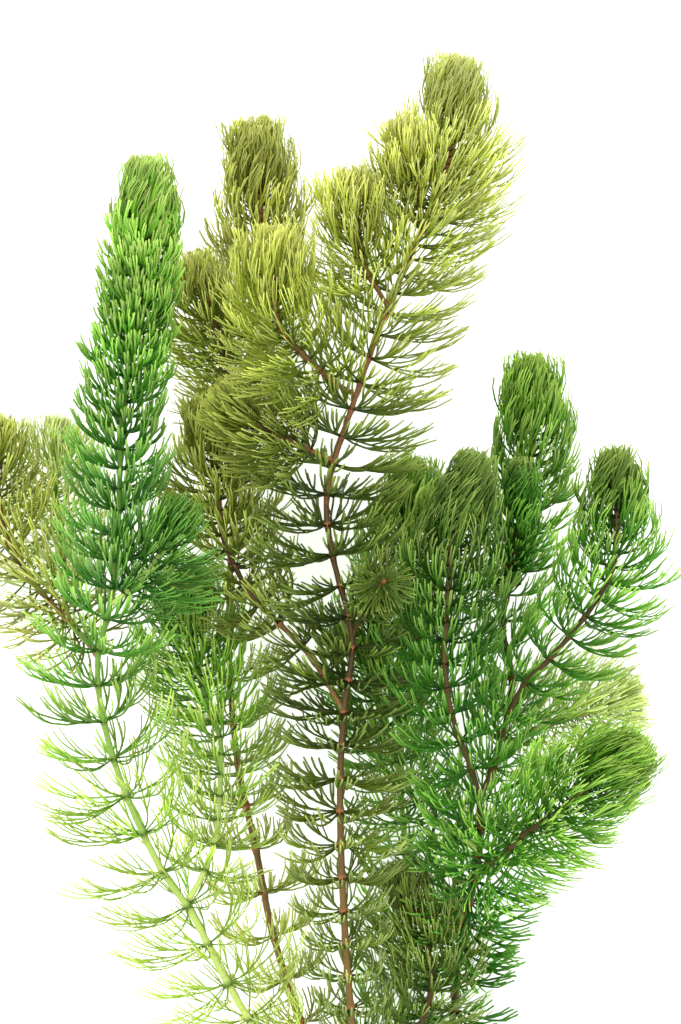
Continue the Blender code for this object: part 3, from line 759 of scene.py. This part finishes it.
def add_stem(faces, shoot, axis):
    """The stem, swollen at each node, closed at its foot and its growing point."""
    nodes = whorl_distances(shoot, axis)
    edges = np.concatenate([[0], nodes, [axis.length]])
    stations, fraction, interval = [], [], []
    for index, (start, end) in enumerate(zip(edges, edges[1:])):
        steps = max(int((end - start) / STEM_RING_STEP), 1)
        shares = np.linspace(0, 1, steps + 1)
        if end - start > 4 * NODE_LENGTH:
            near = NODE_LENGTH / (end - start)
            shares = np.unique(np.concatenate([shares, [near / 2, near, 1 - near, 1 - near / 2]]))
        stations.append(start + (end - start) * shares)
        fraction.append(shares)
        interval.append(np.full(len(shares), index))
    stations, fraction, interval = map(np.concatenate, (stations, fraction, interval))
    centres, tangents, sides = axis.at(stations)
    ups = np.cross(tangents, sides)
    long_share = min(axis.length / LONG_SHOOT, 1)
    foot_radius = STEM_RADIUS_AT_TIP + (STEM_RADIUS_AT_FOOT - STEM_RADIUS_AT_TIP) * long_share
    radius = foot_radius + (STEM_RADIUS_AT_TIP - foot_radius) * stations / axis.length
    to_node = np.abs(stations[:, None] - nodes[None]).min(axis=1)
    radius = radius * (1 + NODE_SWELLING * np.exp(-((to_node / NODE_LENGTH) ** 2)))
    angles = 2 * math.pi * np.arange(STEM_SIDES) / STEM_SIDES
    rings = centres[:, None] + radius[:, None, None] * (
        np.cos(angles)[None, :, None] * sides[:, None] + np.sin(angles)[None, :, None] * ups[:, None]
    )
    column = np.minimum((stations / axis.length * STEM_BINS).astype(int), STEM_BINS - 1)

    def map_x(ring, side):
        share = (column[ring] + inside(COLUMN_MARGIN, side / STEM_SIDES)) / STEM_BINS
        return STEM_MAP_START + (1 - STEM_MAP_START) * share

    triangles, maps = [], []
    for ring in range(len(stations) - 1):
        if interval[ring] != interval[ring + 1]:
            continue
        low, high = inside(MAP_MARGIN, fraction[ring]), inside(MAP_MARGIN, fraction[ring + 1])
        for side in range(STEM_SIDES):
            a, b = ring * STEM_SIDES + side, ring * STEM_SIDES + (side + 1) % STEM_SIDES
            c, d = a + STEM_SIDES, b + STEM_SIDES
            triangles += [(a, b, d), (a, d, c)]
            left, right = map_x(ring, side), map_x(ring, side + 1)
            maps += [(left, low), (right, low), (right, high), (left, low), (right, high), (left, high)]
    joined, index = np.unique(np.round(rings.reshape(-1, 3), 7), axis=0, return_inverse=True)
    index = index.reshape(-1)
    first, last = index[:STEM_SIDES], index[-STEM_SIDES:]
    caps = []
    for side in range(1, STEM_SIDES - 1):
        caps.append((first[0], first[side + 1], first[side]))
        caps.append((last[0], last[side], last[side + 1]))
    maps += [(STEM_MAP_START + x, y) for x, y in ((0.003, 0.01), (0.005, 0.01), (0.003, 0.02))] * len(caps)
    faces.add(joined, np.vstack([index[np.array(triangles)], caps]), np.array(maps), 1)


class Graph:
    """A short way to add and join shader nodes."""

    def __init__(self, name):
        self.material = bpy.data.materials.new(name)
        self.material.use_nodes = True
        self.tree = self.material.node_tree
        self.shader = self.tree.nodes["Principled BSDF"]
        self.output = self.tree.nodes["Material Output"]

    def node(self, kind, inputs=(), **settings):
        made = self.tree.nodes.new(kind)
        for key, value in settings.items():
            setattr(made, key, value)
        for key, value in dict(inputs).items():
            self.join(value, made.inputs[key])
        return made

    def join(self, value, socket):
        if isinstance(value, bpy.types.NodeSocket):
            self.tree.links.new(value, socket)
        else:
            socket.default_value = value

    def math(self, operation, a, b=0.0):
        return self.node("ShaderNodeMath", {0: a, 1: b}, operation=operation).outputs[0]

    def map_range(self, value, from_low, from_high, to_low=0.0, to_high=1.0, shape="LINEAR"):
        ends = {0: value, 1: from_low, 2: from_high, 3: to_low, 4: to_high}
        return self.node("ShaderNodeMapRange", ends, interpolation_type=shape).outputs[0]

    def ramp(self, factor, stops):
        made = self.node("ShaderNodeValToRGB", {0: factor})
        elements = made.color_ramp.elements
        while len(elements) < len(stops):
            elements.new(0.5)
        for element, (position, shade) in zip(elements, stops):
            element.position = position
            element.color = (*colour(*shade), 1)
        return made.outputs[0]

    def mix(self, kind, factor, a, b):
        made = self.node("ShaderNodeMix", data_type="RGBA", blend_type=kind)
        self.join(factor, made.inputs[0])
        self.join(a, made.inputs[6])
        self.join(b, made.inputs[7])
        return made.outputs[2]

    def brightened(self, base, strength):
        grey = self.node("ShaderNodeCombineColor", {0: strength, 1: strength, 2: strength})
        return self.mix("MULTIPLY", 1.0, base, grey.outputs[0])

    def uv(self):
        return self.node("ShaderNodeUVMap", uv_map="OFBake").outputs[0]

    def map_place(self):
        split = self.node("ShaderNodeSeparateXYZ", {0: self.uv()})
        return split.outputs[0], split.outputs[1]


def leaf_material(name, palette):
    """Leaves that let light through, darker at the root and brighter at the tip, in a few shades each."""
    graph = Graph(name)
    across, along = graph.map_place()
    place = graph.math("DIVIDE", across, LEAF_MAP_WIDTH)
    column = graph.math("FLOOR", graph.math("MULTIPLY", place, LEAF_COLUMNS))
    heights, *parts = zip(*palette)
    root, middle, tip = (graph.ramp(place, list(zip(heights, shades))) for shades in parts)
    from_root = graph.map_range(along, 0.0, 0.45, shape="SMOOTHSTEP")
    to_tip = graph.map_range(along, 0.5, 1.0, shape="SMOOTHSTEP")
    mixed = graph.mix("MIX", to_tip, graph.mix("MIX", from_root, root, middle), tip)
    chance = graph.node("ShaderNodeTexWhiteNoise", {"W": column}, noise_dimensions="1D")
    shaded = graph.brightened(mixed, graph.map_range(chance.outputs[0], 0.0, 1.0, 0.74, 1.22))
    graph.join(shaded, graph.shader.inputs["Base Color"])
    graph.shader.inputs["Roughness"].default_value = 0.42
    graph.shader.inputs["Specular IOR Level"].default_value = 0.4
    through = graph.node("ShaderNodeBsdfTranslucent", {0: shaded})
    both = graph.node("ShaderNodeMixShader", {0: 0.45, 1: graph.shader.outputs[0], 2: through.outputs[0]})
    graph.join(both.outputs[0], graph.output.inputs[0])
    return graph.material


def stem_material(name, palette):
    """Stems that change from foot to tip, with a ring of another colour at each node and fine flecks."""
    graph = Graph(name)
    across, along = graph.map_place()
    place = graph.map_range(across, STEM_MAP_START, 1.0)
    body = graph.ramp(place, ((0.22, palette.low), (0.56, palette.middle), (0.82, palette.high)))
    near_node = graph.map_range(graph.math("PINGPONG", along, 0.5), 0.03, 0.12, 1.0, 0.0)
    ringed = graph.mix("MIX", near_node, body, (*colour(*palette.node), 1))
    streaks = graph.node("ShaderNodeTexNoise", {"Vector": graph.uv(), "Scale": 60.0, "Detail": 3.0})
    flecked = graph.brightened(ringed, graph.map_range(streaks.outputs[0], 0.3, 0.7, 0.85, 1.12))
    graph.join(flecked, graph.shader.inputs["Base Color"])
    graph.shader.inputs["Roughness"].default_value = 0.5
    graph.shader.inputs["Specular IOR Level"].default_value = 0.25
    return graph.material


def make_plant(shift):
    axes = {shoot.name: Axis(smooth_curve(np.array(shoot.route) * MM) + shift) for shoot in SHOOTS}
    leaf_materials = {name: leaf_material(f"{name}_leaf", rows) for name, rows in LEAF_PALETTES.items()}
    stem_materials = {name: stem_material(f"{name}_stem", parts) for name, parts in STEM_PALETTES.items()}
    total = 0
    for number, shoot in enumerate(SHOOTS):
        rng = np.random.default_rng(number)
        others = np.vstack([axis.curve for name, axis in axes.items() if name != shoot.name])
        leaves = Leaves(shoot, axes[shoot.name], others, rng)
        faces = Faces()
        for strand in strands_of(leaves, rng):
            add_strand(faces, leaves, strand)
        add_stem(faces, shoot, axes[shoot.name])
        mesh = faces.mesh(f"{shoot.name}_leaves")
        mesh.materials.append(leaf_materials[shoot.palette])
        mesh.materials.append(stem_materials[shoot.stem])
        piece = bpy.data.objects.new(f"{shoot.name}_leaves", mesh)
        bpy.context.scene.collection.objects.link(piece)
        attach(piece, "root")
        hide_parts(shoot.name)
        total += len(mesh.polygons)
    print("triangles in all", total)


def make_floor():
    bpy.ops.mesh.primitive_plane_add(size=8, location=(0, 0, 0))
    floor = bpy.context.object
    floor.name = "floor"
    graph = Graph("floor")
    graph.shader.inputs["Base Color"].default_value = (0.92, 0.92, 0.92, 1)
    graph.shader.inputs["Roughness"].default_value = 0.9
    graph.shader.inputs["Emission Color"].default_value = (1, 1, 1, 1)
    graph.shader.inputs["Emission Strength"].default_value = 0.62
    floor.data.materials.append(graph.material)


def make_light():
    """An even bright sky and one large soft lamp."""
    world = bpy.data.worlds.new("sky")
    world.use_nodes = True
    world.node_tree.nodes["Background"].inputs["Color"].default_value = (1, 1, 1, 1)
    world.node_tree.nodes["Background"].inputs["Strength"].default_value = 1.3
    bpy.context.scene.world = world
    lamp = bpy.data.lights.new("lamp", "AREA")
    lamp.size = 1.6
    lamp.energy = 30
    holder = bpy.data.objects.new("lamp", lamp)
    holder.location = (-0.4, 0.5, 2.2)
    holder.rotation_euler = (math.radians(-13), math.radians(-10), 0)
    bpy.context.scene.collection.objects.link(holder)


def make_camera(shift):
    """Looks straight down, with the photo's frame where the routes' millimetres put it."""
    camera = bpy.data.cameras.new("camera")
    camera.lens = LENS
    camera.sensor_width = SENSOR
    camera.clip_end = 20
    eye = bpy.data.objects.new("camera", camera)
    height = VIEW_LEVEL + VIEW_LENGTH * LENS / SENSOR
    eye.location = (VIEW_MIDDLE[0] + shift[0], VIEW_MIDDLE[1] + shift[1], height)
    bpy.context.scene.collection.objects.link(eye)
    bpy.context.scene.camera = eye
    bpy.context.scene.view_settings.view_transform = "Standard"


shift = cad_shift()
make_plant(shift)
make_floor()
make_light()
make_camera(shift)
